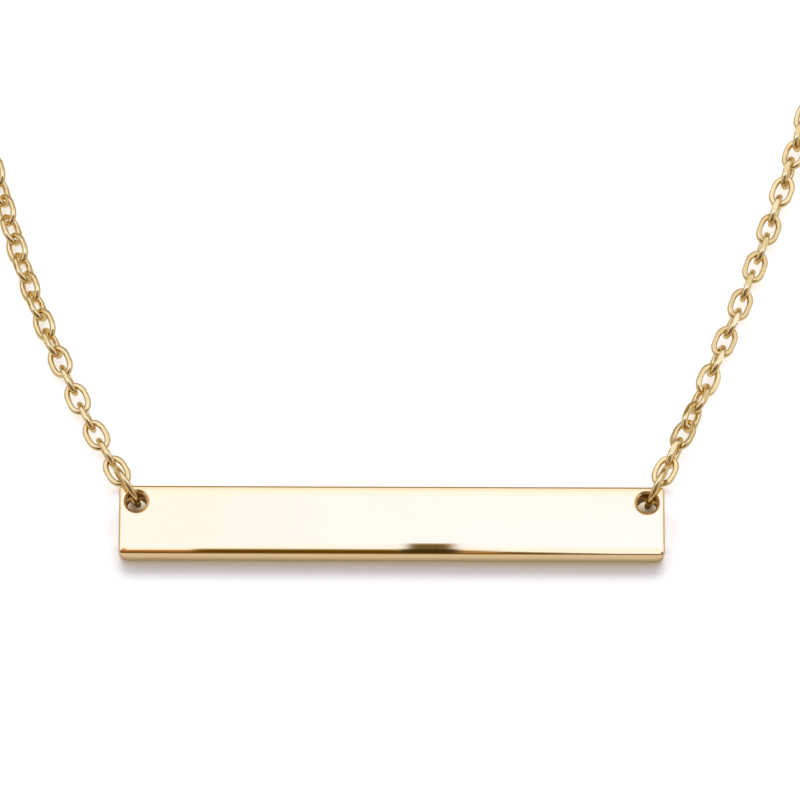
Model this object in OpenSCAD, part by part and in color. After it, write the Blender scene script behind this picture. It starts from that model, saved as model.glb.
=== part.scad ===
// Bar pendant on its cable chain, laid in a loop on a flat surface.
// The bar runs along X, the chain goes away from it along +Y, and +Z is up.
// The origin is at the middle of the loop's footprint, on the surface.

/* [Bar] */
// Length of the bar
bar_length = 35; // [28:0.5:45]
// Height of the bar's face
bar_height = 4.65; // [3.8:0.05:7]
// Thickness of the bar
bar_thickness = 1.6; // [1:0.05:1.7]
// Rounding of the bar's edges
bar_edge = 0.2; // [0.05:0.01:0.3]

/* [Holes] */
// Diameter of the hole at each upper corner
hole_diameter = 1.4; // [1.2:0.05:1.6]
// Width of the broken edge round each hole
hole_rim = 0.13; // [0.05:0.01:0.2]
// Distance of a hole's centre from the end and from the top edge
hole_inset = 1.12; // [1:0.01:1.2]

/* [Jump rings] */
// Wire of a jump ring
ring_wire = 0.4; // [0.3:0.01:0.42]
// Room inside a jump ring beyond the bar's thickness
ring_room = 0.75; // [0.7:0.01:1.1]
// How far the chain draws a ring up in its hole
ring_draw = 0.12; // [0.08:0.01:0.2]
// Outward lean of the left ring along the bar's face
left_ring_lean = 31; // [20:1:40]
// Outward lean of the right ring along the bar's face
right_ring_lean = 25; // [20:1:40]
// How far the left ring lies inward of the middle of its hole
left_ring_aside = 0.14; // [0:0.01:0.2]
// Turn of each ring about its own long direction
ring_turn = 5; // [0:1:8]

/* [Chain] */
// Outer width of a link
link_width = 1.6; // [1.5:0.05:1.9]
// Wire of a link
link_wire = 0.4; // [0.3:0.01:0.42]
// Distance from one link's centre to the next
link_pitch = 1.51; // [1.45:0.01:1.7]
// Gap left between wires that hook into each other
wire_gap = 0.12; // [0.1:0.01:0.16]

/* [Clasp] */
// Outer diameter of the spring ring
clasp_outer = 5.5; // [5:0.1:7]
// Diameter of the spring ring's tube
clasp_tube = 1.1; // [0.8:0.05:1.2]
// Wire of the eye soldered to the spring ring
eye_wire = 0.5; // [0.4:0.01:0.55]
// Room inside the eye beyond a link's wire
eye_room = 0.6; // [0.4:0.05:1]
// How deep the eye is sunk in the tube where it is soldered
eye_sunk = 0.2; // [0.1:0.01:0.3]
// Wire of the end ring that the clasp closes on
end_ring_wire = 0.5; // [0.4:0.01:0.55]
// Room inside the end ring beyond the spring ring's tube
end_ring_room = 1.3; // [1.1:0.05:1.8]

/* [Hidden] */
$fn = 48;
GOLD = [0.9, 0.72, 0.38];
WIRE_GOLD = [0.86, 0.66, 0.3];

// Where the clasp lies beyond the holes
clasp_away = 162.2;
// The chain's route, seen from above, as few points chosen by hand.
// keep: share of the hole's distance from the middle that the point follows
// out: mm further out, away: mm beyond the hole
// In the far half that both strands share, away is a share of clasp_away
far_half = [
    [0.6, 26.8, 0.475], [0.5, 29.6, 0.58], [0.4, 30.4, 0.684], [0.3, 29.1, 0.783], [0.2, 25.7, 0.874],
    [0.1, 18.7, 0.951], [0, 10.5, 1]];
far_route = [for (row = far_half) [row[0], row[1], row[2] * clasp_away]];
left_route = concat([
    [1, 2.7, 5.2], [1, 5.1, 10.6], [1, 7.2, 16.3], [1, 8.9, 22.1], [0.9, 12.9, 32],
    [0.8, 17.7, 46], [0.7, 22.5, 61]], far_route);
right_route = concat([
    [1, 2.3, 5.2], [1, 4.5, 10.8], [1, 6.6, 16.3], [1, 8.5, 22.1], [1, 10.3, 28.1],
    [0.9, 14.1, 36], [0.8, 18.5, 48], [0.7, 22.7, 61.5]], far_route);
// How far the chain is twisted at a link, in degrees: link, turn
left_twist = [[1, 10], [6, 16], [8, 32], [10, 44], [16, 46]];
right_twist = [
    [1, 0], [2, 8], [3, 22], [4, 36], [5, 49], [6, 62], [7, 73], [8, 77], [14, 77], [18, 97]];
// Angle below a ring's far point at which the chain hooks into it
hook_drop = 52;
// Links over which the chain comes down from a ring to the surface
descent = 4;
// Steps of the route between two of its points
steps = 24;
// Height of the lowest links above the surface
floor_gap = 0.035;
// Angle below the end ring's middle at which the clasp's tube lies in it
tube_drop = 45;
// How far a cut runs past the face that it opens
past_face = 1;

hole_x = bar_length / 2 - hole_inset;
hole_y = bar_height - hole_inset;
ring_r = (bar_thickness + ring_room + ring_wire) / 2;
link_r = (link_width - link_wire) / 2;
link_straight = link_pitch + wire_gap + 2 * link_wire - link_width;
// From a link's end wire back to the point that it shares with its neighbour
wire_to_joint = (link_wire + wire_gap) / 2;

// The bar leans back on its rings, whose undersides rest on the surface
ring_high = hole_y + (ring_r + ring_draw) * cos(max(left_ring_lean, right_ring_lean));
bar_tilt = asin((ring_r + ring_wire / 2 - bar_edge) / norm([ring_high - bar_edge, bar_thickness / 2 - bar_edge]))
    - atan2(bar_thickness / 2 - bar_edge, ring_high - bar_edge);
bar_lift = bar_edge * (1 - sin(bar_tilt) - cos(bar_tilt));

clasp_r = (clasp_outer - clasp_tube) / 2;
tube_high = clasp_tube / 2;
eye_r = (link_wire + eye_room + eye_wire) / 2;
eye_high = eye_r + eye_wire / 2;
end_ring_r = (clasp_tube + end_ring_room + end_ring_wire) / 2;
end_ring_high = end_ring_r + end_ring_wire / 2;
// The clasp's tube lies this far off the middle of the end ring, at an angle of tube_drop below it
tube_play = end_ring_room / 2 - wire_gap;
clasp_tilt = asin((end_ring_high - tube_high - tube_play * sin(tube_drop)) / (2 * clasp_r));

// Turns a direction or a place on the bar into one on the surface
function leaned(v) = [
    v.x, v.y * cos(bar_tilt) - v.z * sin(bar_tilt), v.y * sin(bar_tilt) + v.z * cos(bar_tilt)];
function on_bar(v) = leaned(v) + [0, 0, bar_lift];
function unit(v) = v / norm(v);

// A ring is held as [centre, outward direction, direction down behind the bar]
function jump_ring(side, lean, aside) = let (
    out = [side * sin(lean), cos(lean), 0],
    across = cross(out, [0, 0, 1]) * cos(ring_turn) - side * [0, 0, sin(ring_turn)])
    [on_bar([side * (hole_x - aside), hole_y, bar_thickness / 2] + (ring_r + ring_draw) * out),
     leaned(out), leaned(cross(out, across))];
clasp_y = leaned([0, hole_y, 0]).y + clasp_away;
left_ring = jump_ring(-1, left_ring_lean, left_ring_aside);
right_ring = jump_ring(1, right_ring_lean, 0);
eye = [
    [-clasp_r - sqrt(pow(eye_high + tube_high - eye_sunk, 2) - pow(eye_high - tube_high, 2)), clasp_y, eye_high],
    [-1, 0, 0], [0, 0, -1]];
end_ring_place = [
    [-clasp_r + 2 * clasp_r * cos(clasp_tilt) + tube_play * cos(tube_drop), clasp_y,
     end_ring_high],
    [1, 0, 0], [0, 0, -1]];

// Where a link's end wire lies inside a ring of radius r
function hooked(ring, r, wire) =
    ring[0] + (r - (wire + link_wire) / 2 - wire_gap) * (cos(hook_drop) * ring[1] + sin(hook_drop) * ring[2]);

function seat(turn) = link_r * max(abs(sin(turn)), abs(cos(turn))) + link_wire / 2 + floor_gap;
function route(side, table) =
    [for (row = table) [side * (hole_x * row[0] + row[1]), leaned([0, hole_y, 0]).y + row[2]]];
function flat(v) = [v.x, v.y];
// The first point of a chain, one step from the end wire towards the route
function first_joint(wire, next) = wire + wire_to_joint * unit([next.x, next.y, seat(0)] - wire);

// A smooth curve along hand-chosen points, as closely spaced points
function padded(p) = concat([2 * p[0] - p[1]], p, [2 * p[len(p) - 1] - p[len(p) - 2]]);
function blend(a, b, c, d, t) =
    (pow(1 - t, 3) * a + (3 * pow(t, 3) - 6 * t * t + 4) * b
    + (3 * t + 3 * t * t - 3 * pow(t, 3) + 1) * c + pow(t, 3) * d) / 6;
function smooth(p) = let (q = padded(p)) concat(
    [for (i = [0 : len(p) - 2], k = [0 : steps - 1]) blend(q[i], q[i + 1], q[i + 2], q[i + 3], k / steps)],
    [p[len(p) - 1]]);
function lengths(p) =
    [for (i = 0, s = 0; i < len(p); i = i + 1, s = s + (i < len(p) ? norm(p[i] - p[i - 1]) : 0)) s];

// The points where links meet, from the jump ring to the clasp
function joints(side, table, twist, start, end) = let (
    points = route(side, table),
    a = first_joint(start, points[0]),
    b = first_joint(end, points[len(points) - 1]),
    curve = smooth(concat([flat(a)], points, [flat(b)])),
    run = lengths(curve),
    total = run[len(run) - 1],
    count = round(total / link_pitch),
    xs = [for (i = [0 : len(run) - 1]) [run[i], curve[i].x]],
    ys = [for (i = [0 : len(run) - 1]) [run[i], curve[i].y]])
    [for (j = [0 : count]) let (
        s = j * total / count,
        low = seat(turn_at(j, count, twist)),
        from_a = max(0, 1 - j / descent),
        from_b = max(0, 1 - (count - j) / descent))
        [lookup(s, xs), lookup(s, ys), low + from_a * (a.z - low) + from_b * (b.z - low)]];
// The last link lies flat where it hooks into the clasp
function turn_at(link, count, twist) = let (
    last = twist[len(twist) - 1][1],
    base = count % 2 == 1 ? 0 : 90,
    end = base + 180 * round((last - base) / 180))
    lookup(link, concat(twist, [[count, end]]));

left_joints = joints(-1, left_route, left_twist, hooked(left_ring, ring_r, ring_wire),
    hooked(eye, eye_r, eye_wire));
right_joints = joints(1, right_route, right_twist, hooked(right_ring, ring_r, ring_wire),
    hooked(end_ring_place, end_ring_r, end_ring_wire));

// The middle of the footprint
loop_left = min([for (p = left_joints) p.x]);
loop_right = max([for (p = right_joints) p.x]);
loop_front = -(bar_thickness - bar_edge) * sin(bar_tilt) + bar_edge * (cos(bar_tilt) - 1);
home = -[(loop_left + loop_right) / 2, (loop_front + clasp_y + clasp_outer / 2) / 2, 0];

// Moves and turns a shape: its X along "along", its Y along "side"
module placed(at, along, side) {
    up = cross(along, side);
    multmatrix([
        [along.x, side.x, up.x, at.x],
        [along.y, side.y, up.y, at.y],
        [along.z, side.z, up.z, at.z],
        [0, 0, 0, 1]]) children();
}

module round_wire_ring(r, wire) {
    rotate_extrude() translate([r, 0]) circle(d = wire);
}

module rounded_plate(x, y, r, h) {
    linear_extrude(h) difference() {
        translate([-x / 2, -y / 2]) square([x, y]);
        for (sx = [-1, 1], sy = [-1, 1]) {
            difference() {
                translate([sx * (x - r) / 2, sy * (y - r) / 2]) square([r, r], center = true);
                translate([sx * (x / 2 - r), sy * (y / 2 - r)]) circle(r);
            }
        }
    }
}

module bar() {
    color(GOLD) translate(home + [0, 0, bar_lift]) rotate([bar_tilt, 0, 0]) difference() {
        translate([0, bar_height / 2, bar_thickness / 2]) intersection() {
            translate([0, 0, -bar_thickness / 2])
                rounded_plate(bar_length, bar_height, bar_edge, bar_thickness);
            rotate([90, 0, 90]) translate([0, 0, -bar_length / 2])
                rounded_plate(bar_height, bar_thickness, bar_edge, bar_length);
            rotate([90, 0, 0]) translate([0, 0, -bar_height / 2])
                rounded_plate(bar_length, bar_thickness, bar_edge, bar_height);
        }
        for (side = [-1, 1]) translate([side * hole_x, hole_y, 0]) bored_hole();
    }
}

// The hole with its broken edges, to cut away
module bored_hole() {
    r = hole_diameter / 2;
    translate([0, 0, -past_face]) cylinder(r = r, h = bar_thickness + 2 * past_face);
    translate([0, 0, -past_face]) cylinder(r1 = r + hole_rim + past_face, r2 = r, h = past_face + hole_rim);
    translate([0, 0, bar_thickness - hole_rim]) cylinder(r1 = r, r2 = r + hole_rim + past_face, h = past_face + hole_rim);
}

module link() {
    for (end = [-1, 1]) {
        translate([end * link_straight / 2, 0, 0]) rotate([0, 0, -end * 90])
            rotate_extrude(angle = 180) translate([link_r, 0]) circle(d = link_wire);
        translate([0, end * link_r, 0]) rotate([0, 90, 0])
            cylinder(d = link_wire, h = link_straight, center = true);
    }
}

module chain(points, twist) {
    count = len(points) - 1;
    for (i = [1 : count]) {
        along = unit(points[i] - points[i - 1]);
        right = unit(cross(along, [0, 0, 1]));
        roll = 90 * (i - 1) + turn_at(i, count, twist);
        side = right * cos(roll) + cross(right, along) * sin(roll);
        placed((points[i] + points[i - 1]) / 2, along, side) link();
    }
}

module left_jump_ring() {
    color(WIRE_GOLD) translate(home) placed(left_ring[0], left_ring[1], left_ring[2])
        round_wire_ring(ring_r, ring_wire);
}

module right_jump_ring() {
    color(WIRE_GOLD) translate(home) placed(right_ring[0], right_ring[1], right_ring[2])
        round_wire_ring(ring_r, ring_wire);
}

module left_chain() {
    color(WIRE_GOLD) translate(home) chain(left_joints, left_twist);
}

module right_chain() {
    color(WIRE_GOLD) translate(home) chain(right_joints, right_twist);
}

// The spring ring lies on the surface at its eye and is raised by the end ring on the other side
module clasp() {
    color(GOLD) translate(home) {
        translate([-clasp_r, clasp_y, tube_high]) rotate([0, -clasp_tilt, 0]) translate([clasp_r, 0, 0])
            round_wire_ring(clasp_r, clasp_tube);
        placed(eye[0], eye[1], eye[2]) round_wire_ring(eye_r, eye_wire);
    }
}

module end_ring() {
    color(WIRE_GOLD) translate(home)
        placed(end_ring_place[0], end_ring_place[1], end_ring_place[2])
            round_wire_ring(end_ring_r, end_ring_wire);
}

bar();
left_jump_ring();
right_jump_ring();
left_chain();
right_chain();
clasp();
end_ring();
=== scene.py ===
"""Dresses the bar pendant necklace: a polished bar on two jump rings, its cable chain and its clasp.

Lengths are in metres. X runs along the bar, Y from the bar to the clasp, and Z is up from the surface.
"""

from __future__ import annotations

import logging
import math
from dataclasses import dataclass, field
from enum import Enum
from typing import Callable, Iterable, Sequence

import bmesh
import bpy
import numpy as np
from mathutils import Matrix, Vector
from mathutils.geometry import delaunay_2d_cdt

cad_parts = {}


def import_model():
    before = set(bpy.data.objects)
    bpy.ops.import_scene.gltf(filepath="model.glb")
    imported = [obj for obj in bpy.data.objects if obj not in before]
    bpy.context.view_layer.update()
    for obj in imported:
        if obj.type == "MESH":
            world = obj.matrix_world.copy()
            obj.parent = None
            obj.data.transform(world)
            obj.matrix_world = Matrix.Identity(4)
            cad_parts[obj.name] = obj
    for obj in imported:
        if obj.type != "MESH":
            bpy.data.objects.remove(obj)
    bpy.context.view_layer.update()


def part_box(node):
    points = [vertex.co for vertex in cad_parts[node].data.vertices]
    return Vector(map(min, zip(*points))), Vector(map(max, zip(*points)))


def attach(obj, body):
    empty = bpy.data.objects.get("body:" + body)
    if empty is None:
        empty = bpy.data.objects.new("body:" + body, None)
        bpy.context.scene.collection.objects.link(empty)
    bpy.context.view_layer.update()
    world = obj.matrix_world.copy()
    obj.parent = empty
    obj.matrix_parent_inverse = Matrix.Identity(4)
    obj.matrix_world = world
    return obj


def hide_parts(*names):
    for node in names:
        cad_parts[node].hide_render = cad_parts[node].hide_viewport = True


MM = 0.001
LOG = logging.getLogger("necklace")
MERGE_REACH = 1e-4 * MM  # points nearer than this are one
WIRE_LIP = 0.12  # the broken edge of a wire's sawn end, as a share of its radius
FLAT_NORMAL = 0.9995  # a link's face is on a cut flat where its normal is this close to an axis

Colour = tuple[float, float, float]
Socket = bpy.types.NodeSocket


class Slot(Enum):
    """The record's material slots."""

    BAR = "polished_gold"
    WIRE = "gold_wire"


class Axis(Enum):
    """An axis of a solid's own frame."""

    ALONG = 0
    SIDE = 1
    NORMAL = 2


# Solids read from the frame


@dataclass
class Solid:
    """One loose solid of a CAD node, with the frame that its own shape gives it."""

    centre: np.ndarray
    axes: np.ndarray
    size: np.ndarray

    def extent(self, which: Axis) -> float:
        """Returns the solid's length along one of its own axes."""
        return float(self.size[which.value])

    def matrix(self) -> Matrix:
        """Returns the matrix from the solid's own frame to the row frame."""
        turned = Matrix([list(a) for a in self.axes]).transposed().to_4x4()
        return Matrix.Translation(Vector(self.centre)) @ turned


def triangles_of(node: bpy.types.Object) -> tuple[np.ndarray, np.ndarray]:
    """Reads a CAD node's triangles, with the points that they share merged.

    Args:
        node: the CAD node's object.

    Returns:
        The points, and the triangles as rows of three point numbers.
    """
    mesh = node.data
    points = np.empty(len(mesh.vertices) * 3)
    mesh.vertices.foreach_get("co", points)
    points = points.reshape(-1, 3)
    mesh.calc_loop_triangles()
    corners = np.empty(len(mesh.loop_triangles) * 3, np.int64)
    mesh.loop_triangles.foreach_get("vertices", corners)
    cells = np.round(points / MERGE_REACH).astype(np.int64)
    _, first, same = np.unique(cells, axis=0, return_index=True, return_inverse=True)
    return points[first], same.reshape(-1)[corners].reshape(-1, 3)


def loose_labels(count: int, triangles: np.ndarray) -> np.ndarray:
    """Numbers the loose solids that points belong to.

    Args:
        count: how many points there are.
        triangles: rows of three point numbers.

    Returns:
        One number for each point, the same for points that triangles join.
    """
    label = np.arange(count)
    while True:
        lowest = label.copy()
        np.minimum.at(lowest, triangles.ravel(), np.repeat(label[triangles].min(axis=1), 3))
        lowest = lowest[lowest]
        if (lowest == label).all():
            return np.unique(label, return_inverse=True)[1].reshape(-1)
        label = lowest


def solids_of(node: bpy.types.Object) -> list[Solid]:
    """Splits a CAD node into its loose solids, each with its own frame.

    The frame is that of the surface's spread: ALONG is the longest way, NORMAL the shortest.

    Args:
        node: the CAD node's object.

    Returns:
        The node's solids, in no order.
    """
    points, triangles = triangles_of(node)
    label = loose_labels(len(points), triangles)
    solids = []
    order = np.argsort(label[triangles[:, 0]], kind="stable")
    numbers = label[triangles[order, 0]]
    starts = np.flatnonzero(np.r_[True, numbers[1:] != numbers[:-1]])
    for start, end in zip(starts, np.r_[starts[1:], len(order)]):
        own = triangles[order[start:end]]
        a, b, c = (points[own[:, k]] for k in range(3))
        area = np.linalg.norm(np.cross(b - a, c - a), axis=1)
        middle = (a + b + c) / 3
        centre = (middle * area[:, None]).sum(axis=0) / area.sum()
        spread = (middle - centre).T @ ((middle - centre) * area[:, None])
        axes = np.linalg.eigh(spread)[1][:, ::-1].T
        axes[2] = np.cross(axes[0], axes[1])
        local = (points[np.unique(own)] - centre) @ axes.T
        low, high = local.min(axis=0), local.max(axis=0)
        solids.append(Solid(centre + (low + high) / 2 @ axes, axes, high - low))
    return solids


def strung(solids: list[Solid], start: Vector) -> list[Solid]:
    """Puts a chain's solids in the order in which they hook into each other.

    Args:
        solids: the chain's links.
        start: a point next to the first link.

    Returns:
        The same links, from the first to the last.
    """
    centres = np.array([s.centre for s in solids])
    left = np.ones(len(solids), bool)
    here = np.array(start)
    order = []
    while left.any():
        gap = np.linalg.norm(centres - here, axis=1)
        gap[~left] = np.inf
        nearest = int(gap.argmin())
        left[nearest] = False
        here = centres[nearest]
        order.append(nearest)
    return [solids[k] for k in order]


# Finishes


class Nodes:
    """A thin hand for building a node tree."""

    def __init__(self, tree: bpy.types.NodeTree) -> None:
        """Keeps the tree and empties it."""
        self.tree = tree
        tree.nodes.clear()

    def add(
        self, kind: str, inputs: dict[str | int, object] | None = None, **settings: object
    ) -> bpy.types.Node:
        """Adds a node.

        Args:
            kind: the node's type name.
            inputs: sockets or values for the node's inputs, by name or number.
            settings: the node's properties, by name.

        Returns:
            The new node.
        """
        node = self.tree.nodes.new(kind)
        for name, value in settings.items():
            setattr(node, name, value)
        self.fill(node, inputs or {})
        return node

    def fill(self, node: bpy.types.Node, inputs: dict[str | int, object]) -> None:
        """Links a node's inputs to sockets, or sets plain values on them."""
        for name, value in inputs.items():
            if isinstance(value, Socket):
                self.join(value, node.inputs[name])
            else:
                node.inputs[name].default_value = value

    def join(self, source: Socket, target: Socket) -> None:
        """Links two sockets."""
        self.tree.links.new(source, target)

    def maths(self, operation: str, *values: object) -> Socket:
        """Adds a Math node on sockets or numbers and returns its result."""
        return self.add("ShaderNodeMath", dict(enumerate(values)), operation=operation).outputs[0]

    def spread(self, value: Socket, low: float, high: float) -> Socket:
        """Adds a Map Range node from 0..1 to low..high and returns its result."""
        ends = {"Value": value, "To Min": low, "To Max": high}
        return self.add("ShaderNodeMapRange", ends).outputs["Result"]

    def step(self, value: Socket, at: float, blur: float) -> Socket:
        """Adds a soft step from 0 to 1 at a value, or down from 1 to 0 where the blur is negative."""
        first, last = (0.0, 1.0) if blur > 0 else (1.0, 0.0)
        ends = {"Value": value, "From Min": at - abs(blur), "From Max": at + abs(blur),
                "To Min": first, "To Max": last}
        return self.add("ShaderNodeMapRange", ends, interpolation_type="SMOOTHSTEP").outputs["Result"]

    def between(self, value: Socket, low: float, high: float, blur: float) -> Socket:
        """Adds a soft window, which is 1 between two values and 0 outside them."""
        return self.maths("MULTIPLY", self.step(value, low, blur), self.step(value, high, -blur))

    def noise(self, place: Socket, size: float, detail: float = 2.0) -> Socket:
        """Adds a noise with patches of a size and returns its level."""
        inputs = {"Vector": place, "Scale": 1 / size, "Detail": detail}
        return self.add("ShaderNodeTexNoise", inputs, noise_dimensions="3D").outputs["Fac"]

    def split(self, vector: Socket) -> bpy.types.bpy_prop_collection:
        """Adds a split of a vector and returns its three sockets."""
        return self.add("ShaderNodeSeparateXYZ", {0: vector}).outputs

    def vector(self, *values: object) -> Socket:
        """Adds a vector of three sockets or numbers and returns it."""
        return self.add("ShaderNodeCombineXYZ", dict(enumerate(values))).outputs[0]

    def mix(self, share: Socket, first: object, second: object) -> Socket:
        """Adds a mix of two colours and returns it."""
        ends = {"Factor": share, "A": first, "B": second}
        return self.add("ShaderNodeMix", ends, data_type="RGBA").outputs["Result"]


def new_material(name: str) -> tuple[bpy.types.Material, Nodes, bpy.types.Node, Socket]:
    """Makes a material of one surface shader.

    Args:
        name: the material's name.

    Returns:
        The material, its nodes, the shader and the socket of the Object coordinates.
    """
    made = bpy.data.materials.new(name)
    made.use_nodes = True
    nodes = Nodes(made.node_tree)
    shader = nodes.add("ShaderNodeBsdfPrincipled")
    nodes.add("ShaderNodeOutputMaterial", {"Surface": shader.outputs["BSDF"]})
    return made, nodes, shader, nodes.add("ShaderNodeTexCoord").outputs["Object"]


@dataclass(frozen=True)
class GoldFinish:
    """Polished yellow gold: its colour, how glossy it is and its fine marks."""

    name: str
    slot: Slot
    colour: Colour
    deep_colour: Colour
    roughness: tuple[float, float]
    tone_size: float
    mark_size: float
    mark_depth: float
    mark_stretch: tuple[float, float, float] = (1.0, 1.0, 1.0)

    def material(self) -> bpy.types.Material:
        """Makes the finish's material.

        Returns:
            A material on Object coordinates: two gold tones in soft patches, a gloss that changes with
            fine rubbing marks, and the marks themselves as bump.
        """
        made, nodes, gold, place = new_material(self.name)
        patches = nodes.noise(place, self.tone_size)
        stretched = nodes.add("ShaderNodeMapping", {"Vector": place, "Scale": self.mark_stretch})
        marks = nodes.noise(stretched.outputs["Vector"], self.mark_size, detail=4.0)
        bump = nodes.add("ShaderNodeBump", {"Strength": 1.0, "Distance": self.mark_depth, "Height": marks})
        nodes.fill(gold, {
            "Metallic": 1.0,
            "Base Color": nodes.mix(patches, (*self.colour, 1.0), (*self.deep_colour, 1.0)),
            "Roughness": nodes.spread(marks, *self.roughness),
            "Normal": bump.outputs["Normal"],
        })
        return made


BAR_POLISH = GoldFinish(
    name="mirror_polished_gold",
    slot=Slot.BAR,
    colour=(1.0, 0.78, 0.48),
    deep_colour=(0.98, 0.75, 0.44),
    roughness=(0.008, 0.02),
    tone_size=6 * MM,
    mark_size=0.5 * MM,
    mark_stretch=(0.25, 1.0, 1.0),
    mark_depth=0.000015 * MM,
)
RIM_CUT = GoldFinish(
    name="drilled_gold",
    slot=Slot.BAR,
    colour=(1.0, 0.75, 0.42),
    deep_colour=(0.96, 0.68, 0.34),
    roughness=(0.2, 0.34),
    tone_size=0.5 * MM,
    mark_size=0.08 * MM,
    mark_stretch=(1.0, 1.0, 0.3),
    mark_depth=0.0004 * MM,
)
WIRE_POLISH = GoldFinish(
    name="drawn_gold_wire",
    slot=Slot.WIRE,
    colour=(0.95, 0.77, 0.44),
    deep_colour=(0.91, 0.71, 0.37),
    roughness=(0.06, 0.16),
    tone_size=1.2 * MM,
    mark_size=0.12 * MM,
    mark_depth=0.0006 * MM,
)
CLASP_POLISH = GoldFinish(
    name="polished_gold_tube",
    slot=Slot.BAR,
    colour=(1.0, 0.75, 0.41),
    deep_colour=(0.97, 0.7, 0.35),
    roughness=(0.05, 0.14),
    tone_size=2 * MM,
    mark_size=0.2 * MM,
    mark_depth=0.0005 * MM,
)


@dataclass(frozen=True)
class Patch:
    """A soft-edged rectangle of the surface with painted shade or painted light, such as the painted shadow
    under the bar.
    """

    low: tuple[float, float]
    high: tuple[float, float]
    blur: float
    # tint darkens the patch as painted shade; glow adds painted light
    tint: Colour = (1.0, 1.0, 1.0)
    glow: float = 0.0


@dataclass(frozen=True)
class PaperFinish:
    """The plain surface that the necklace lies on: how light it is, and its glow, which is painted light.
    """

    name: str
    shade: float
    glow: float
    tint: Colour = (1.0, 1.0, 1.0)
    grain_size: float = 1.5 * MM
    grain: float = 0.01

    def material(self, patches: Sequence[Patch]) -> bpy.types.Material:
        """Makes a matt white with a faint grain.

        Args:
            patches: the places with painted shade or painted light.

        Returns:
            A material on Object coordinates.
        """
        made, nodes, white, place = new_material(self.name)
        grain = nodes.noise(place, self.grain_size)
        level = nodes.spread(grain, self.shade - self.grain, self.shade + self.grain)
        channels = {
            name: nodes.maths("MULTIPLY", level, share)
            for name, share in zip(("Red", "Green", "Blue"), self.tint)
        }
        colour = nodes.add("ShaderNodeCombineColor", channels).outputs["Color"]
        glow = self.glow
        x, y, _ = nodes.split(place)
        # Each patch paints shade through its tint and paints light through its glow.
        for patch in patches:
            (left, bottom), (right, top) = patch.low, patch.high
            inside = nodes.maths("MULTIPLY", nodes.between(x, left, right, patch.blur),
                                 nodes.between(y, bottom, top, patch.blur))
            own = [tint * self.shade * share for tint, share in zip(self.tint, patch.tint)]
            colour = nodes.mix(inside, colour, (*own, 1.0))
            glow = nodes.maths("MULTIPLY_ADD", inside, patch.glow - self.glow, glow)
        nodes.fill(white, {
            "Roughness": 1.0,
            "Specular IOR Level": 0.0,
            "Base Color": colour,
            "Emission Color": (*self.tint, 1.0),
            "Emission Strength": glow,
        })
        return made


# Meshes


def object_from(name: str, data: bpy.types.ID) -> bpy.types.Object:
    """Links a mesh, lamp or camera into the scene as an object at the origin."""
    made = bpy.data.objects.new(name, data)
    bpy.context.scene.collection.objects.link(made)
    return made


def smooth_mesh(name: str, shell: bmesh.types.BMesh, to_row: Matrix) -> bpy.types.Mesh:
    """Finishes a closed shell: doubles merged, faces outward and smooth, its place in its points.

    Args:
        name: the mesh's name.
        shell: the shell, in its own frame. It is freed.
        to_row: the matrix from that frame to the row frame.

    Returns:
        The finished mesh.
    """
    bmesh.ops.remove_doubles(shell, verts=shell.verts, dist=MERGE_REACH)
    bmesh.ops.recalc_face_normals(shell, faces=shell.faces)
    for face in shell.faces:
        face.smooth = True
    shell.transform(to_row)
    mesh = bpy.data.meshes.new(name)
    shell.to_mesh(mesh)
    shell.free()
    return mesh


def add_loft(shell: bmesh.types.BMesh, rings: Sequence[Sequence[Vector]]) -> None:
    """Skins closed rings of as many points each, one after the other, with quads.

    Args:
        shell: takes the new faces.
        rings: the rings, each a list of points.
    """
    rows = [[shell.verts.new(point) for point in ring] for ring in rings]
    for near, far in zip(rows, rows[1:]):
        for k in range(len(near)):
            after = (k + 1) % len(near)
            shell.faces.new((near[k], near[after], far[after], far[k]))


def add_wire(
    shell: bmesh.types.BMesh,
    path: Sequence[Vector],
    normals: Sequence[Vector],
    radius: float,
    sides: int,
    cut: bool,
) -> None:
    """Adds a round wire along a flat path.

    Args:
        shell: takes the new faces.
        path: points along the wire's middle.
        normals: at each point, the direction across the wire within its plane.
        radius: the wire's radius.
        sides: how many sides the wire has.
        cut: True for a wire with two flat ends, False for one that closes on itself.
    """
    rings = []
    for k, (point, across) in enumerate(zip(path, normals)):
        ahead = path[(k + 1) % len(path)] - path[k - 1] if 0 < k < len(path) - 1 or not cut else None
        if ahead is None:
            ahead = path[1] - path[0] if k == 0 else path[-1] - path[-2]
        up = across.cross(ahead).normalized()
        turns = [2 * math.pi * s / sides for s in range(sides)]
        rings.append([point + radius * (math.cos(t) * across + math.sin(t) * up) for t in turns])
    if cut:
        lip = WIRE_LIP * radius
        rings = [
            [p.lerp(path[0], WIRE_LIP) for p in rings[0]],
            [p + (path[1] - path[0]).normalized() * lip for p in rings[0]],
            *rings[1:-1],
            [p + (path[-2] - path[-1]).normalized() * lip for p in rings[-1]],
            [p.lerp(path[-1], WIRE_LIP) for p in rings[-1]],
        ]
    else:
        rings.append(rings[0])
    first = len(shell.verts)
    add_loft(shell, rings)
    if cut:
        shell.verts.ensure_lookup_table()
        made = list(shell.verts)[first:]
        shell.faces.new(made[:sides])
        shell.faces.new(made[-sides:])


# The bar


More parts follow.
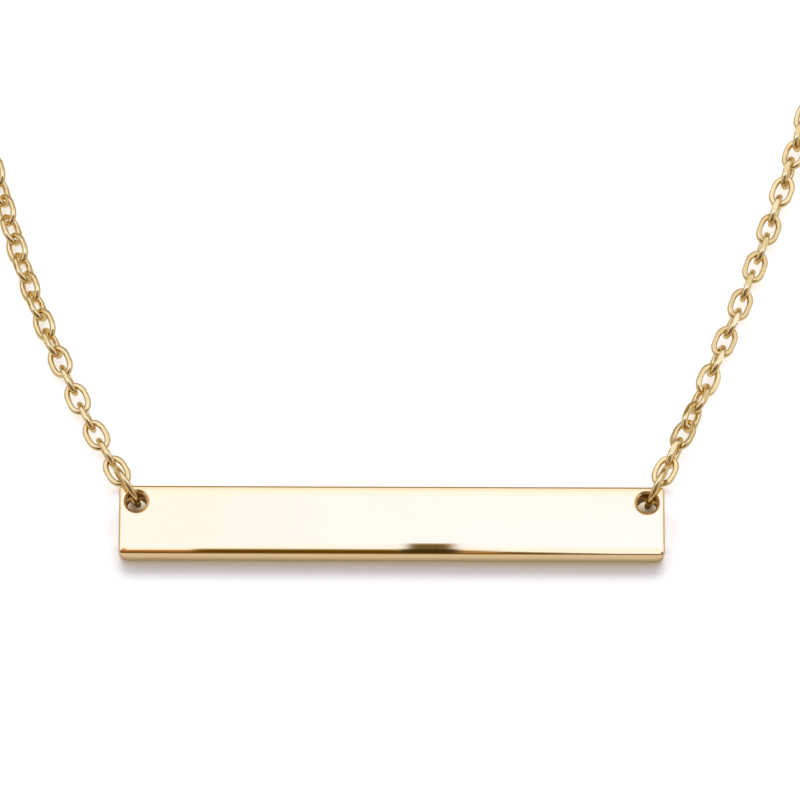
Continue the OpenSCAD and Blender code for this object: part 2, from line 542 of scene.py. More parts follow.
@dataclass
class BarPendant:
    """The drilled, polished bar. Its length, height, thickness and lean come from the frame."""

    node: str = "bar"
    finish: GoldFinish = BAR_POLISH
    hole_finish: GoldFinish = RIM_CUT
    hole_radius: float = 0.65 * MM
    hole_inset: float = 1.12 * MM
    rim_width: float = 0.17 * MM
    rim_depth: float = 0.14 * MM
    rim_ease: float = 0.04 * MM
    front_round: float = 0.2 * MM
    back_round: float = 0.16 * MM
    front_corner: float = 0.24 * MM
    back_corner: float = 0.55 * MM
    crown_depth: float = 0.068 * MM
    crown_width: float = 0.95 * MM
    bow_depth: float = 0.012 * MM
    arc_steps: int = 6
    corner_steps: int = 8
    hole_steps: int = 64
    long_steps: int = 90
    short_steps: int = 12
    wall_steps: int = 5
    least_corner: float = 0.02 * MM
    grid_margin: float = 0.04 * MM
    hole_margin: float = 0.05 * MM
    grid_steps: tuple[float, ...] = (
        0.0, 0.04, 0.09, 0.15, 0.22, 0.3, 0.4, 0.52, 0.67, 0.85, 1.1, 1.45, 1.9
    )
    same_line: float = 1e-3 * MM
    weld_reach: float = 1e-6 * MM
    to_row: Matrix = field(init=False)
    half: Vector = field(init=False)

    def __post_init__(self) -> None:
        """Reads the bar's own frame from its CAD node: the normal of its widest face, and X."""
        mesh = bpy.data.objects[self.node].data
        widest = max((p for p in mesh.polygons if p.normal.z > 0), key=lambda p: p.area)
        along = Vector((1, 0, 0))
        out = widest.normal.normalized()
        up = out.cross(along)
        turned = Matrix((along, up, out))
        local = [turned @ v.co for v in mesh.vertices]
        low = Vector([min(p[k] for p in local) for k in range(3)])
        high = Vector([max(p[k] for p in local) for k in range(3)])
        self.half = (high - low) / 2
        middle = turned.transposed() @ ((low + high) / 2)
        self.to_row = Matrix.Translation(middle) @ turned.transposed().to_4x4()

    def face_centre(self) -> Vector:
        """Returns the middle of the front face, in the row frame."""
        return self.to_row @ Vector((0, 0, self.half.z))

    def face_normal(self) -> Vector:
        """Returns the direction that the front face looks in."""
        return (self.to_row.to_3x3() @ Vector((0, 0, 1))).normalized()

    def crown(self, y: float) -> float:
        """Returns how far polishing has taken the front face down at a height, most at its long edges."""
        near = max(0.0, 1 - (self.half.y - abs(y)) / self.crown_width)
        return self.bow_depth * (y / self.half.y) ** 2 + self.crown_depth * near * near

    def outline(self, inset: float, corner: float) -> list[tuple[float, float]]:
        """Walks round the bar's face.

        Args:
            inset: how far inside the bar's sides the walk stays.
            corner: the corners' radius at the sides, before the inset.

        Returns:
            Points in the bar's own frame, as many whatever the inset and the radius.
        """
        a, b = self.half.x - inset, self.half.y - inset
        r = max(corner - inset, self.least_corner)
        points = []
        quarters = [(a, b, 0, self.long_steps), (-a, b, 1, self.short_steps),
                    (-a, -b, 2, self.long_steps), (a, -b, 3, self.short_steps)]
        for k, (x, y, turn, steps) in enumerate(quarters):
            cx, cy = x - math.copysign(r, x), y - math.copysign(r, y)
            for step in range(self.corner_steps + 1):
                angle = math.pi / 2 * (turn + step / self.corner_steps)
                points.append((cx + r * math.cos(angle), cy + r * math.sin(angle)))
            nx, ny, next_turn, _ = quarters[(k + 1) % 4]
            ncx, ncy = nx - math.copysign(r, nx), ny - math.copysign(r, ny)
            angle = math.pi / 2 * next_turn
            last, goal = points[-1], (ncx + r * math.cos(angle), ncy + r * math.sin(angle))
            for step in range(1, steps):
                share = step / steps
                points.append(tuple(near + (far - near) * share for near, far in zip(last, goal)))
        return points

    def side_rings(self) -> list[list[Vector]]:
        """Returns the rings from the front face's edge, over both rounded edges, to the back face's."""
        rings = []
        c = self.half.z
        for k in range(self.arc_steps + 1):
            turn = math.pi / 2 * k / self.arc_steps
            inset, down = (self.front_round * (1 - way(turn)) for way in (math.sin, math.cos))
            flat = math.cos(turn)
            rings.append([Vector((x, y, c - down - flat * self.crown(y)))
                          for x, y in self.outline(inset, self.front_corner)])
        top, bottom = c - self.front_round, self.back_round - c
        for k in range(1, self.wall_steps):
            share = k / self.wall_steps
            corner = self.front_corner + (self.back_corner - self.front_corner) * share
            rings.append([Vector((x, y, top + (bottom - top) * share)) for x, y in self.outline(0, corner)])
        for k in range(self.arc_steps + 1):
            turn = math.pi / 2 * k / self.arc_steps
            inset, up = (self.back_round * (1 - way(turn)) for way in (math.cos, math.sin))
            rings.append([Vector((x, y, up - c)) for x, y in self.outline(inset, self.back_corner)])
        return rings

    def hole_rings(self, x: float, y: float) -> list[list[Vector]]:
        """Returns the rings down a hole, from the front face's edge of its rim to the back face's.

        Args:
            x: the hole's place along the bar.
            y: the hole's place up the bar.
        """
        c, r, ease = self.half.z, self.hole_radius, self.rim_ease
        profile = eased(
            [(r + self.rim_width + ease, c), (r + self.rim_width, c), (r, c - self.rim_depth), (r, -c),
             (r + ease, -c)],
            ease, self.arc_steps,
        )
        rings = []
        for radius, height in profile:
            ring = []
            for k in range(self.hole_steps):
                angle = 2 * math.pi * k / self.hole_steps
                px, py = x + radius * math.cos(angle), y + radius * math.sin(angle)
                share = max(0.0, 1 - (c - height) / self.rim_depth)
                ring.append(Vector((px, py, height - share * self.crown(py))))
            rings.append(ring)
        return rings

    def add_face(
        self,
        shell: bmesh.types.BMesh,
        edge: list[Vector],
        holes: list[list[Vector]],
        height: Callable[[float], float],
    ) -> None:
        """Fills one face of the bar between its edge and its holes.

        Args:
            shell: takes the new faces.
            edge: the ring round the face.
            holes: the ring round each hole.
            height: gives the face's height from how far up the bar a place is.
        """
        inner = self.half.x - max(p.x for p in edge) + self.grid_margin
        farthest = max(p.y for p in edge)
        columns = {round(p.x / MM, 5) * MM for p in edge if farthest - abs(p.y) < self.same_line}
        ends, rows = (
            [s * (half - inner - d * MM) for s in (-1, 1) for d in self.grid_steps]
            for half in (self.half.x, self.half.y)
        )
        xs = sorted(columns | {x for x in ends if abs(x) > max(columns)})
        ys = sorted({*rows, 0.0})
        centres = [sum(h, Vector()) / len(h) for h in holes]
        reach = max((h[0] - m).xy.length for h, m in zip(holes, centres))
        clear = reach + self.hole_margin
        corner = 0.5 * self.back_corner
        inside = [(x, y) for x in xs for y in ys
                  if all(math.hypot(x - m.x, y - m.y) > clear for m in centres)
                  and (self.half.x - abs(x)) + (self.half.y - abs(y)) > 2 * inner + corner]
        loops = [edge, *holes]
        points = [Vector((p.x, p.y)) for loop in loops for p in loop] + [Vector(p) for p in inside]
        edges, first = [], 0
        for loop in loops:
            edges += [(first + k, first + (k + 1) % len(loop)) for k in range(len(loop))]
            first += len(loop)
        verts, _, faces, *_ = delaunay_2d_cdt(points, edges, [], 0, self.weld_reach)
        made = [shell.verts.new((v.x, v.y, height(v.y))) for v in verts]
        for face in faces:
            middle = sum((verts[k] for k in face), Vector((0, 0))) / len(face)
            if all((middle - m.xy).length > reach for m in centres):
                shell.faces.new([made[k] for k in face])

    def build(self) -> bpy.types.Object:
        """Makes the bar's mesh, dresses it and puts it in place of its CAD node."""
        shell = bmesh.new()
        sides = self.side_rings()
        holes = [self.hole_rings(s * (self.half.x - self.hole_inset), self.half.y - self.hole_inset)
                 for s in (-1, 1)]
        for rings in holes:
            add_loft(shell, rings)
        for face in shell.faces:
            face.material_index = 1
        add_loft(shell, sides)
        c = self.half.z
        self.add_face(shell, sides[0], [h[0] for h in holes], lambda y: c - self.crown(y))
        self.add_face(shell, sides[-1], [h[-1] for h in holes], lambda y: -c)
        made = object_from("polished_bar", smooth_mesh("polished_bar", shell, self.to_row))
        for finish in (self.finish, self.hole_finish):
            made.data.materials.append(finish.material())
        return placed(made, self.finish, self.node)


def eased(
    corners_at: Sequence[tuple[float, float]], reach: float, steps: int
) -> list[tuple[float, float]]:
    """Rounds the inner corners of a line of straight strokes.

    Args:
        corners_at: the line's ends and corners.
        reach: how far from a corner the rounding starts.
        steps: how many strokes a rounding has.

    Returns:
        The rounded line's points.
    """
    line = [Vector(p) for p in corners_at]
    points = [line[0]]
    for before, corner, after in zip(line, line[1:], line[2:]):
        a = corner + (before - corner).normalized() * min(reach, (before - corner).length / 2)
        b = corner + (after - corner).normalized() * min(reach, (after - corner).length / 2)
        for k in range(steps + 1):
            t = k / steps
            points.append(a.lerp(corner, t).lerp(corner.lerp(b, t), t))
    points.append(line[-1])
    return [tuple(p) for p in points]


def placed(piece: bpy.types.Object, finish: GoldFinish, *nodes: str) -> bpy.types.Object:
    """Rides a piece on the necklace in place of CAD nodes, and logs it."""
    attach(piece, "root")
    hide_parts(*nodes)
    LOG.info("%s: %d faces, for %s", piece.name, len(piece.data.polygons), ", ".join(nodes))
    return piece


# Rings of round wire


@dataclass
class WireRing:
    """A ring of round wire, sawn open and closed again. Its sizes and its place come from the frame."""

    name: str
    node: str
    finish: GoldFinish = WIRE_POLISH
    saw_cut: float = 0.03 * MM
    cut_towards: tuple[float, float, float] = (0.0, 1.0, -0.6)
    steps: int = 96
    sides: int = 20

    def build(self) -> bpy.types.Object:
        """Makes the ring, dresses it and puts it in place of its CAD node."""
        solid = solids_of(bpy.data.objects[self.node])[0]
        wire = solid.extent(Axis.NORMAL) / 2
        radius = max(solid.extent(Axis.ALONG), solid.extent(Axis.SIDE)) / 2 - wire
        to_row = solid.matrix()
        towards = to_row.to_3x3().inverted() @ Vector(self.cut_towards)
        start = math.atan2(towards.y, towards.x)
        half_cut = self.saw_cut / 2 / radius
        whole = 2 * math.pi - 2 * half_cut
        turns = [start + half_cut + whole * k / self.steps for k in range(self.steps + 1)]
        outward = [Vector((math.cos(t), math.sin(t), 0)) for t in turns]
        shell = bmesh.new()
        add_wire(shell, [radius * d for d in outward], outward, wire, self.sides, cut=True)
        made = object_from(self.name, smooth_mesh(self.name, shell, to_row))
        made.data.materials.append(self.finish.material())
        return placed(made, self.finish, self.node)


# The chain


@dataclass
class CableChain:
    """A strand of cable chain. Its links lie where the loose solids of its CAD node lie."""

    name: str
    node: str
    ring_node: str
    finish: GoldFinish = WIRE_POLISH
    seen_links: int = 26
    wire_spread: float = 1.0
    flat_depth: float = 0.035 * MM
    face_depth: float = 0.012 * MM
    roundness: float = 0.75
    roll: float = math.radians(5)
    wobble: float = math.radians(1.5)
    seed: int = 7
    near_steps: int = 34
    near_sides: int = 16
    far_steps: int = 10
    far_sides: int = 6

    def strand(self) -> tuple[bpy.types.Object, Solid]:
        """Makes a point for each link, with the ways that it runs and lies.

        Returns:
            The points' object, and one link for its sizes.
        """
        low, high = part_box(self.ring_node)
        links = strung(solids_of(bpy.data.objects[self.node]), (low + high) / 2)
        mesh = bpy.data.meshes.new(self.name + "_places")
        mesh.from_pydata([link.centre for link in links], [], [])
        for name, which in (("along", Axis.ALONG), ("side", Axis.SIDE)):
            values = np.array([link.axes[which.value] for link in links])
            mesh.attributes.new(name, "FLOAT_VECTOR", "POINT").data.foreach_set("vector", values.ravel())
        near = np.arange(len(links)) < self.seen_links
        mesh.attributes.new("near", "BOOLEAN", "POINT").data.foreach_set("value", near)
        return object_from(self.name, mesh), links[len(links) // 2]

    def tree(self, values: dict[str, object]) -> bpy.types.NodeTree:
        """Makes the node tree that sets a link on every point.

        Args:
            values: the tree's inputs, by name. Their types give the sockets' types.

        Returns:
            The node tree.
        """
        tree = bpy.data.node_groups.new(self.name + "_links", "GeometryNodeTree")
        nodes = Nodes(tree)
        kinds = {float: "Float", int: "Int", bpy.types.Material: "Material"}
        tree.interface.new_socket("Geometry", in_out="INPUT", socket_type="NodeSocketGeometry")
        for name, value in values.items():
            tree.interface.new_socket(name, in_out="INPUT", socket_type="NodeSocket" + kinds[type(value)])
        tree.interface.new_socket("Geometry", in_out="OUTPUT", socket_type="NodeSocketGeometry")
        given = nodes.add("NodeGroupInput").outputs

        def named(name: str, kind: str = "FLOAT_VECTOR") -> Socket:
            """Reads one of the points' attributes."""
            reader = nodes.add("GeometryNodeInputNamedAttribute", {"Name": name}, data_type=kind)
            return reader.outputs["Attribute"]

        axes = {0: named("along"), 1: named("side")}
        lie = nodes.add("FunctionNodeAxesToRotation", axes, primary_axis="X", secondary_axis="Y")
        limits = {"Seed": given["Seed"]}
        for way, end in ((-1.0, "Min"), (1.0, "Max")):
            turns = [nodes.maths("MULTIPLY", given[name], way) for name in ("Roll", "Wobble", "Wobble")]
            limits[end] = nodes.vector(*turns)
        stray = nodes.add("FunctionNodeRandomValue", limits, data_type="FLOAT_VECTOR")
        to_turn = nodes.add("FunctionNodeEulerToRotation", {0: stray.outputs["Value"]})
        ways = {0: lie.outputs[0], 1: to_turn.outputs[0]}
        turn = nodes.add("FunctionNodeRotateRotation", ways, rotation_space="LOCAL")

        both = nodes.add("GeometryNodeJoinGeometry")
        near = named("near", "BOOLEAN")
        far = nodes.add("FunctionNodeBooleanMath", {0: near}, operation="NOT").outputs[0]
        for chosen, kind in ((near, "Near"), (far, "Far")):
            setting = nodes.add("GeometryNodeInstanceOnPoints", {
                "Points": given["Geometry"],
                "Selection": chosen,
                "Instance": self.link_shape(nodes, given, given[kind + " Steps"], given[kind + " Sides"]),
                "Rotation": turn.outputs[0],
            })
            nodes.join(setting.outputs["Instances"], both.inputs[0])
        real = nodes.add("GeometryNodeRealizeInstances", {0: both.outputs[0]}).outputs[0]
        dressed = nodes.add("GeometryNodeSetMaterial", {"Geometry": real, "Material": given["Material"]})
        nodes.add("NodeGroupOutput", {0: dressed.outputs[0]})
        return tree

    @staticmethod
    def link_shape(
        nodes: Nodes,
        given: bpy.types.bpy_prop_collection,
        steps: Socket,
        sides: Socket,
    ) -> Socket:
        """Adds one link: an oval of wire, cut flat outside on its long sides and on both faces.

        Args:
            nodes: the tree being built.
            given: the tree's inputs, by name.
            steps: how many points the link's middle line has. Not a multiple of four.
            sides: how many sides its wire has.

        Returns:
            The socket that gives the link's mesh, running along X and lying in XY.
        """
        def circle(points: Socket, radius: Socket) -> Socket:
            """Adds a round line."""
            inputs = {"Resolution": points, "Radius": radius}
            return nodes.add("GeometryNodeCurvePrimitiveCircle", inputs).outputs["Curve"]

        def moved(shape: Socket, *values: Socket) -> Socket:
            """Puts every point of a shape at three worked-out coordinates."""
            inputs = {"Geometry": shape, "Position": nodes.vector(*values)}
            return nodes.add("GeometryNodeSetPosition", inputs).outputs[0]

        def within(value: Socket, limit: Socket) -> Socket:
            """Keeps a value between a limit below zero and the same above."""
            low = nodes.maths("MAXIMUM", value, nodes.maths("MULTIPLY", limit, -1.0))
            return nodes.maths("MINIMUM", low, limit)

        bend, wire_half = given["Bend Radius"], nodes.maths("MULTIPLY", given["Wire"], 0.5)
        x, y, z = nodes.split(nodes.add("GeometryNodeInputPosition").outputs[0])
        half = nodes.maths("MULTIPLY", given["Straight"], 0.5)
        ends = {0: given["Roundness"], 2: nodes.maths("SIGN", x), 3: nodes.maths("DIVIDE", x, bend)}
        shift = nodes.add("ShaderNodeMix", ends, data_type="FLOAT").outputs["Result"]
        oval = moved(circle(steps, bend), nodes.maths("MULTIPLY_ADD", shift, half, x), y, z)
        curves = {"Curve": oval, "Profile Curve": circle(sides, wire_half)}
        swept = nodes.add("GeometryNodeCurveToMesh", curves).outputs["Mesh"]

        x, y, z = nodes.split(nodes.add("GeometryNodeInputPosition").outputs[0])
        outer = nodes.maths("MULTIPLY_ADD", given["Wire"], 0.5, bend)
        limit = nodes.maths("SUBTRACT", outer, given["Flat Depth"])
        thick = nodes.maths("MULTIPLY", given["Wire Spread"], wire_half)
        top = nodes.maths("SUBTRACT", thick, given["Face Depth"])
        level = nodes.maths("MULTIPLY", z, given["Wire Spread"])
        shape = moved(swept, x, within(y, limit), within(level, top))

        _, side, up = nodes.split(nodes.add("GeometryNodeInputNormal").outputs[0])
        straightest = nodes.maths("MAXIMUM", nodes.maths("ABSOLUTE", side), nodes.maths("ABSOLUTE", up))
        on_flat = nodes.maths("GREATER_THAN", straightest, FLAT_NORMAL)
        inputs = {"Geometry": shape, "Shade Smooth": nodes.maths("SUBTRACT", 1.0, on_flat)}
        return nodes.add("GeometryNodeSetShadeSmooth", inputs, domain="FACE").outputs[0]

    def build(self) -> bpy.types.Object:
        """Sets the links along the strand, makes them one plain mesh and puts it in place of the node."""
        made, link = self.strand()
        wire, width = link.extent(Axis.NORMAL), link.extent(Axis.SIDE)
        own = ("wire_spread", "flat_depth", "face_depth", "roundness", "roll", "wobble", "seed",
               "near_steps", "near_sides", "far_steps", "far_sides")
        values = {
            "Straight": link.extent(Axis.ALONG) - width,
            "Bend Radius": (width - wire) / 2,
            "Wire": wire,
            **{name.replace("_", " ").title(): getattr(self, name) for name in own},
            "Material": self.finish.material(),
        }
        setter = made.modifiers.new("links", "NODES")
        setter.node_group = self.tree(values)
        for item in setter.node_group.interface.items_tree:
            if item.in_out == "INPUT" and item.name in values:
                setter[item.identifier] = values[item.name]
        evaluated = made.evaluated_get(bpy.context.evaluated_depsgraph_get())
        mesh = bpy.data.meshes.new_from_object(evaluated)
        made.modifiers.remove(setter)
        made.data = mesh
        return placed(made, self.finish, self.node)


# The clasp


@dataclass
class SpringRingClasp:
    """The spring ring with its soldered eye. Its place, outer sizes and tilt come from the frame."""

    node: str = "clasp"
    finish: GoldFinish = CLASP_POLISH
    tube: float = 1.1 * MM
    eye_wire: float = 0.5 * MM
    steps: int = 120
    sides: int = 28
    eye_sides: int = 16

    def build(self) -> bpy.types.Object:
        """Makes the ring's tube and the eye as one mesh, and puts it in place of its CAD node."""
        low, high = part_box(self.node)
        radius = (high.y - low.y - self.tube) / 2
        eye_outer = (high.z - low.z) / 2
        eye_radius = eye_outer - self.eye_wire / 2
        reach = high.x - self.tube / 2
        tilt = math.acos(min(1.0, (reach + radius) / (2 * radius)))
        middle_y = (low.y + high.y) / 2
        shell = bmesh.new()
        turns = [2 * math.pi * k / self.steps for k in range(self.steps)]
        outward = [Vector((math.cos(t), math.sin(t), 0)) for t in turns]
        add_wire(shell, [radius * d for d in outward], outward, self.tube / 2, self.sides, cut=False)
        hinge = Matrix.Translation((-radius, middle_y, self.tube / 2))
        lean = Matrix.Rotation(-tilt, 4, "Y")
        shell.transform(hinge @ lean @ Matrix.Translation((radius, 0, 0)))
        eye = bmesh.new()
        upright = [Vector((math.cos(t), 0, math.sin(t))) for t in turns]
        around = [eye_radius * d for d in upright]
        add_wire(eye, around, upright, self.eye_wire / 2, self.eye_sides, cut=False)
        eye.transform(Matrix.Translation((low.x + eye_outer, middle_y, eye_outer)))
        part = smooth_mesh("eye", eye, Matrix.Identity(4))
        shell.from_mesh(part)
        bpy.data.meshes.remove(part)
        made = object_from("spring_ring", smooth_mesh("spring_ring", shell, Matrix.Identity(4)))
        made.data.materials.append(self.finish.material())
        return placed(made, self.finish, self.node)


# The studio


def facing(place: Vector, back: Vector, roll: float = 0.0) -> Matrix:
    """Returns the matrix of a lamp or camera at a place, level with X, with its back in a direction."""
    right = Vector((1, 0, 0))
    turned = Matrix((right, back.cross(right), back)).transposed() @ Matrix.Rotation(roll, 3, "Z")
    return Matrix.Translation(place) @ turned.to_4x4()


@dataclass(frozen=True)
class Lamp:
    """A soft box that lights the surface and shapes the shadows, but isn't mirrored in the gold."""

    name: str
    angle: float
    spread: float
    width: float
    brightness: float
    colour: Colour = (1.0, 1.0, 1.0)
    distance: float = 1.2
    front_stops_only: bool = False

    def hang(self, front: Iterable[bpy.types.Object]) -> None:
        """Hangs the lamp over the necklace.

        Its angle is 0 at the horizon on the camera's side, 90 overhead and 180 behind the necklace.

        Args:
            front: the bar and its rings. A lamp that only they stop makes no other shadow.
        """
        turn = math.radians(self.angle)
        towards = Vector((0, -math.cos(turn), math.sin(turn)))
        box = bpy.data.lights.new(self.name, "AREA")
        box.shape = "RECTANGLE"
        box.size = self.width
        box.size_y = 2 * self.distance * math.tan(math.radians(self.spread) / 2)
        box.energy = self.brightness * math.pi * box.size * box.size_y
        box.color = self.colour
        lamp = object_from(self.name, box)
        lamp.matrix_world = facing(self.distance * towards, towards)
        lamp.visible_camera = False
        lamp.visible_glossy = False
        if self.front_stops_only:
            stops = bpy.data.collections.new(self.name + "_stops")
            for piece in front:
                stops.objects.link(piece)
            lamp.light_linking.blocker_collection = stops


@dataclass(frozen=True)
class Gap:
    """A gap in the light tent, such as the one for the lens, between two sides and two angles."""

    left: float
    right: float
    bottom: float
    top: float
    colour: Colour
    side_blur: float
    end_blur: float


@dataclass(frozen=True)
class LightTent:
    """The light all round the necklace, as the polished gold mirrors it.

    The colours go by the angle over the camera's side, which is 0 at the horizon there, 90 overhead and
    180 behind the necklace. Towards the left and right they go over into the side panels, whose colours
    go by height.
    """

    arch: tuple[tuple[float, Colour], ...] = (
        (0, (0.5, 0.38, 0.25)),
        (8, (0.25, 0.17, 0.07)),
        (25, (0.15, 0.085, 0.02)),
        (78, (0.16, 0.09, 0.02)),
        (81.5, (0.3, 0.17, 0.06)),
        (84, (0.5, 0.3, 0.13)),
        (85.5, (1.02, 1.03, 0.9)),
        (90, (1.04, 1.24, 1.75)),
        (101, (1.06, 1.24, 1.72)),
        (110, (1.06, 1.25, 1.66)),
        (118, (1.08, 1.24, 1.75)),
        (134, (1.08, 1.24, 1.75)),
        (142, (0.3, 0.22, 0.12)),
        (160, (0.36, 0.25, 0.11)),
        (180, (0.3, 0.22, 0.12)),
    )
    sides: tuple[tuple[float, Colour], ...] = (
        (0.0, (0.25, 0.19, 0.1)),
        (0.25, (0.45, 0.38, 0.24)),
        (0.5, (0.95, 0.94, 0.93)),
        (1.0, (1.12, 1.18, 1.6)),
    )
    side_start: float = 0.5
    side_full: float = 0.85
    gaps: tuple[Gap, ...] = (
        Gap(-0.012, 0.1, 95, 105, (1.06, 1.265, 1.91), side_blur=0.008, end_blur=2.0),
        Gap(0.004, 0.1, 90, 100.3, (1.06, 1.275, 1.98), side_blur=0.008, end_blur=1.5),
        Gap(0.1, 0.55, 106, 140, (0.86, 0.84, 0.82), side_blur=0.06, end_blur=6.0),
        Gap(-0.55, -0.1, 106, 140, (0.95, 0.94, 0.95), side_blur=0.06, end_blur=6.0),
        Gap(-0.08, 0.08, 112.5, 136, (1.05, 1.08, 1.15), side_blur=0.03, end_blur=3.5),
        Gap(-0.09, -0.0185, 45, 84, (0.29, 0.14, 0.05), side_blur=0.002, end_blur=1.5),
        Gap(-0.09, -0.0185, 64, 84.4, (0.5, 0.25, 0.1), side_blur=0.002, end_blur=1.5),
        Gap(-0.0188, 0.0, 40, 88.2, (0.45, 0.29, 0.12), side_blur=0.0006, end_blur=0.5),
        Gap(-0.0188, 0.0, 40, 86.4, (0.1, 0.06, 0.008), side_blur=0.0006, end_blur=1.2),
        Gap(0.004, 0.0095, 40, 87.0, (0.42, 0.26, 0.11), side_blur=0.001, end_blur=0.6),
        *(
            Gap(left, 0.08, bottom, 88.5, (1.04, 1.21, 1.55), side_blur=0.0022, end_blur=1.5)
            for left, bottom in ((0.0085, 78), (0.0115, 66), (0.015, 52), (0.0185, 40))
        ),
        Gap(0.0008, 0.005, 40, 95.3, (0.45, 0.31, 0.14), side_blur=0.0006, end_blur=0.5),
        Gap(0.0009, 0.0046, 40, 93.8, (0.13, 0.1, 0.03), side_blur=0.0005, end_blur=0.9),
        Gap(0.0, 0.0055, 40, 88.5, (0.05, 0.035, 0.008), side_blur=0.0004, end_blur=1.0),
    )
    strength: float = 4.0

    def pitch(self) -> None:
        """Makes the scene's world from the tent."""
        world = bpy.data.worlds.new("light_tent")
        bpy.context.scene.world = world
        world.use_nodes = True
        nodes = Nodes(world.node_tree)
        glow = nodes.add("ShaderNodeBackground", {"Strength": self.strength})
        nodes.add("ShaderNodeOutputWorld", {"Surface": glow.outputs[0]})
        across, back, height = nodes.split(nodes.add("ShaderNodeTexCoord").outputs["Generated"])
        angle = nodes.maths("ARCTAN2", height, nodes.maths("MULTIPLY", back, -1.0))
        share = nodes.maths("DIVIDE", angle, math.pi)
        colour = self.ramp(nodes, share, [(a / 180, c) for a, c in self.arch])
        for gap in self.gaps:
            blur = gap.end_blur / 180
            inside = nodes.maths("MULTIPLY", nodes.between(across, gap.left, gap.right, gap.side_blur),
                                 nodes.between(share, gap.bottom / 180, gap.top / 180, blur))
            colour = nodes.mix(inside, colour, (*[level / self.strength for level in gap.colour], 1.0))
        middle = (self.side_start + self.side_full) / 2
        aside = nodes.step(nodes.maths("ABSOLUTE", across), middle, self.side_full - middle)
        panel = self.ramp(nodes, height, self.sides)
        nodes.join(nodes.mix(aside, colour, panel), glow.inputs["Color"])

    def ramp(
        self, nodes: Nodes, value: Socket, stops: Iterable[tuple[float, tuple]]
    ) -> Socket:
        """Adds a colour ramp on a value and returns its colour."""
        node = nodes.add("ShaderNodeValToRGB", {"Fac": value})
        elements = node.color_ramp.elements
        for k, (place, colour) in enumerate(stops):
            stop = elements[k] if k < 2 else elements.new(place)
            stop.position = place
            stop.color = (*[level / self.strength for level in colour], 1.0)
        return node.outputs["Color"]


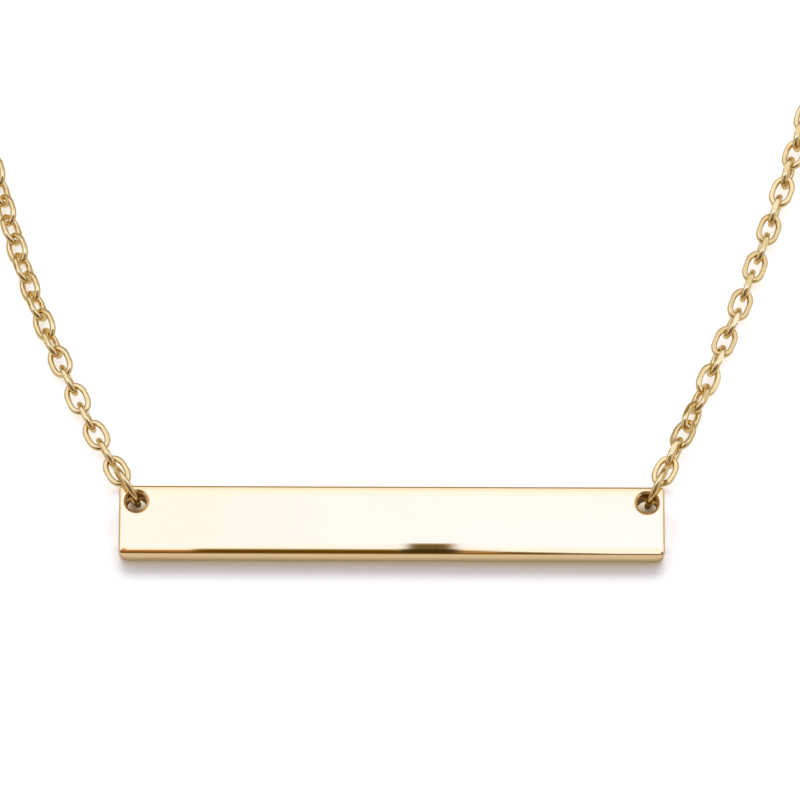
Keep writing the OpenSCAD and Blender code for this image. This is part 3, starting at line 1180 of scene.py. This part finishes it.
@dataclass
class Studio:
    """The white surface, the light and the camera at the photograph's angle."""

    seen: PaperFinish = PaperFinish("white_surface", shade=0.93, glow=0.0)
    # The surface again as the gold mirrors it: greyer and warmer than the seen one, with an even glow that
    # is painted light.
    mirrored: PaperFinish = PaperFinish("mirrored_surface", shade=0.47, glow=0.2, tint=(1.0, 0.97, 0.88))
    surface_size: float = 8.0
    # The painted shadow under the bar: its inset and blur, its reach behind the bar, and its warm
    # painted-shade tint.
    painted_shade_inset: float = 0.3 * MM
    painted_shade_reach: float = 0.3 * MM
    painted_shade_tint: Colour = (0.9, 0.8, 0.6)
    # Painted shade under the bar on the mirrored surface: a darker tint and less glow.
    mirrored_painted_shade_tint: Colour = (0.3, 0.24, 0.14)
    mirrored_painted_shade_glow: float = 0.02
    # Painted light: a glow on the mirrored surface just before the bar, which the bar's lower side mirrors.
    painted_front_light_reach: float = 1.2 * MM
    painted_front_light_blur: float = 0.16 * MM
    painted_front_light_glow: float = 0.5
    # Painted light: a glow on the seen surface beside the bar's ends, lifting the shade there.
    painted_side_light_reach: tuple[float, float] = (0.4 * MM, 0.1 * MM)
    painted_side_light_start: float = 1.4 * MM
    painted_side_light_end: float = 0.5 * MM
    painted_side_light_blur: float = 0.35 * MM
    painted_side_light_glow: float = 0.17
    tent: LightTent = LightTent()
    lamps: tuple[Lamp, ...] = (
        Lamp("back_lamp", angle=128, spread=40, width=1.25, brightness=4.1, front_stops_only=True),
        Lamp("front_lamp", angle=27, spread=30, width=2.4, brightness=1.4, colour=(1.0, 0.95, 0.8)),
    )
    from_face: float = math.radians(20.5)
    distance: float = 700 * MM
    focal_share: float = 13.65
    sensor: float = 36.0
    clip: tuple[float, float] = (0.01, 50.0)
    aim_right: float = 0.5 * MM
    aim_up: float = 7.67 * MM
    roll: float = math.radians(0.2)

    def lay_surface(self, finish: PaperFinish, patches: Sequence[Patch]) -> bpy.types.Object:
        """Makes a surface under the necklace, with patches of its own light."""
        shell = bmesh.new()
        bmesh.ops.create_grid(shell, x_segments=1, y_segments=1, size=self.surface_size / 2)
        mesh = bpy.data.meshes.new(finish.name)
        shell.to_mesh(mesh)
        shell.free()
        mesh.materials.append(finish.material(patches))
        made = object_from(finish.name, mesh)
        return made

    def lay_surfaces(self, bar: BarPendant) -> None:
        """Makes the surface twice: as the picture shows it, cut out in white, and as the gold mirrors it.

        Args:
            bar: the bar. The surface has painted shade under it, and painted light before it and beside its
                ends.
        """
        low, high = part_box(bar.node)
        foot = (low.x + self.painted_shade_inset, low.y + self.painted_shade_inset)
        back = (high.x - self.painted_shade_inset, high.y + self.painted_shade_reach)
        front = (low.x - self.painted_front_light_reach, low.y - self.painted_front_light_reach)
        painted_front_light_end = (high.x + self.painted_front_light_reach, low.y)
        # Painted shadow on the seen surface under the bar, warm as from the gold's bounce light.
        under = Patch(foot, back, self.painted_shade_inset, tint=self.painted_shade_tint)
        # Painted shade on the mirrored surface under the bar, which the hole walls and rings mirror.
        mirrored_painted_shade = Patch(foot, back, self.painted_shade_inset, self.mirrored_painted_shade_tint, self.mirrored_painted_shade_glow)
        # Painted light on the mirrored surface before the bar's front edge.
        painted_front_light = Patch(front, painted_front_light_end, self.painted_front_light_blur, glow=self.painted_front_light_glow)
        out, inward = self.painted_side_light_reach
        # Painted light on the seen surface beside both ends of the bar.
        painted_side_light = [
            Patch((left, low.y + self.painted_side_light_start), (right, high.y + self.painted_side_light_end), self.painted_side_light_blur,
                  glow=self.painted_side_light_glow)
            for left, right in ((low.x - out, low.x + inward), (high.x - inward, high.x + out))
        ]
        self.lay_surface(self.seen, (under, *painted_side_light)).visible_glossy = False
        mirrored = self.lay_surface(self.mirrored, (painted_front_light, mirrored_painted_shade))
        mirrored.visible_camera = False
        mirrored.visible_diffuse = False
        mirrored.visible_shadow = False

    def set_camera(self, bar: BarPendant) -> None:
        """Puts the camera at the photograph's angle and distance to the bar's front face.

        Args:
            bar: the bar that the photograph is centred on.
        """
        normal = bar.face_normal()
        height = math.atan2(normal.z, -normal.y) - self.from_face
        back = Vector((0, -math.cos(height), math.sin(height)))
        right = Vector((1, 0, 0))
        target = bar.face_centre() + self.aim_right * right + self.aim_up * back.cross(right)
        lens = bpy.data.cameras.new("camera")
        lens.sensor_width = self.sensor
        lens.lens = self.focal_share * self.sensor
        lens.clip_start, lens.clip_end = self.clip
        camera = object_from("camera", lens)
        camera.matrix_world = facing(target + self.distance * back, back, self.roll)
        bpy.context.scene.camera = camera

    def build(self, bar: BarPendant, front: Sequence[bpy.types.Object]) -> None:
        """Sets up the surfaces, the light, the camera and plain colours.

        Args:
            bar: the bar's sizes and place.
            front: the finished bar and its two rings.
        """
        self.lay_surfaces(bar)
        self.tent.pitch()
        for lamp in self.lamps:
            lamp.hang(front)
        self.set_camera(bar)
        bpy.context.scene.view_settings.view_transform = "Standard"


def corners(bounds: tuple[Vector, Vector]) -> list[list[float]]:
    """Returns a box's two corners as plain lists of numbers."""
    return [list(corner) for corner in bounds]


def main() -> None:
    """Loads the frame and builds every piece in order."""
    logging.basicConfig(level=logging.INFO, format="%(name)s: %(message)s")
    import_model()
    bar = BarPendant()
    pieces = [
        bar,
        WireRing("left_ring", "left_jump_ring"),
        WireRing("right_ring", "right_jump_ring"),
        CableChain("left_strand", "left_chain", "left_jump_ring", seed=7),
        CableChain("right_strand", "right_chain", "right_jump_ring", seed=11,
                   wire_spread=1.08, flat_depth=0.065 * MM, face_depth=0.025 * MM, roll=math.radians(9)),
        SpringRingClasp(),
        WireRing("closing_ring", "end_ring", cut_towards=(1.0, 0.0, 1.0)),
    ]
    built = [piece.build() for piece in pieces]
    Studio().build(bar, built[:3])


if __name__ == "__main__":
    main()
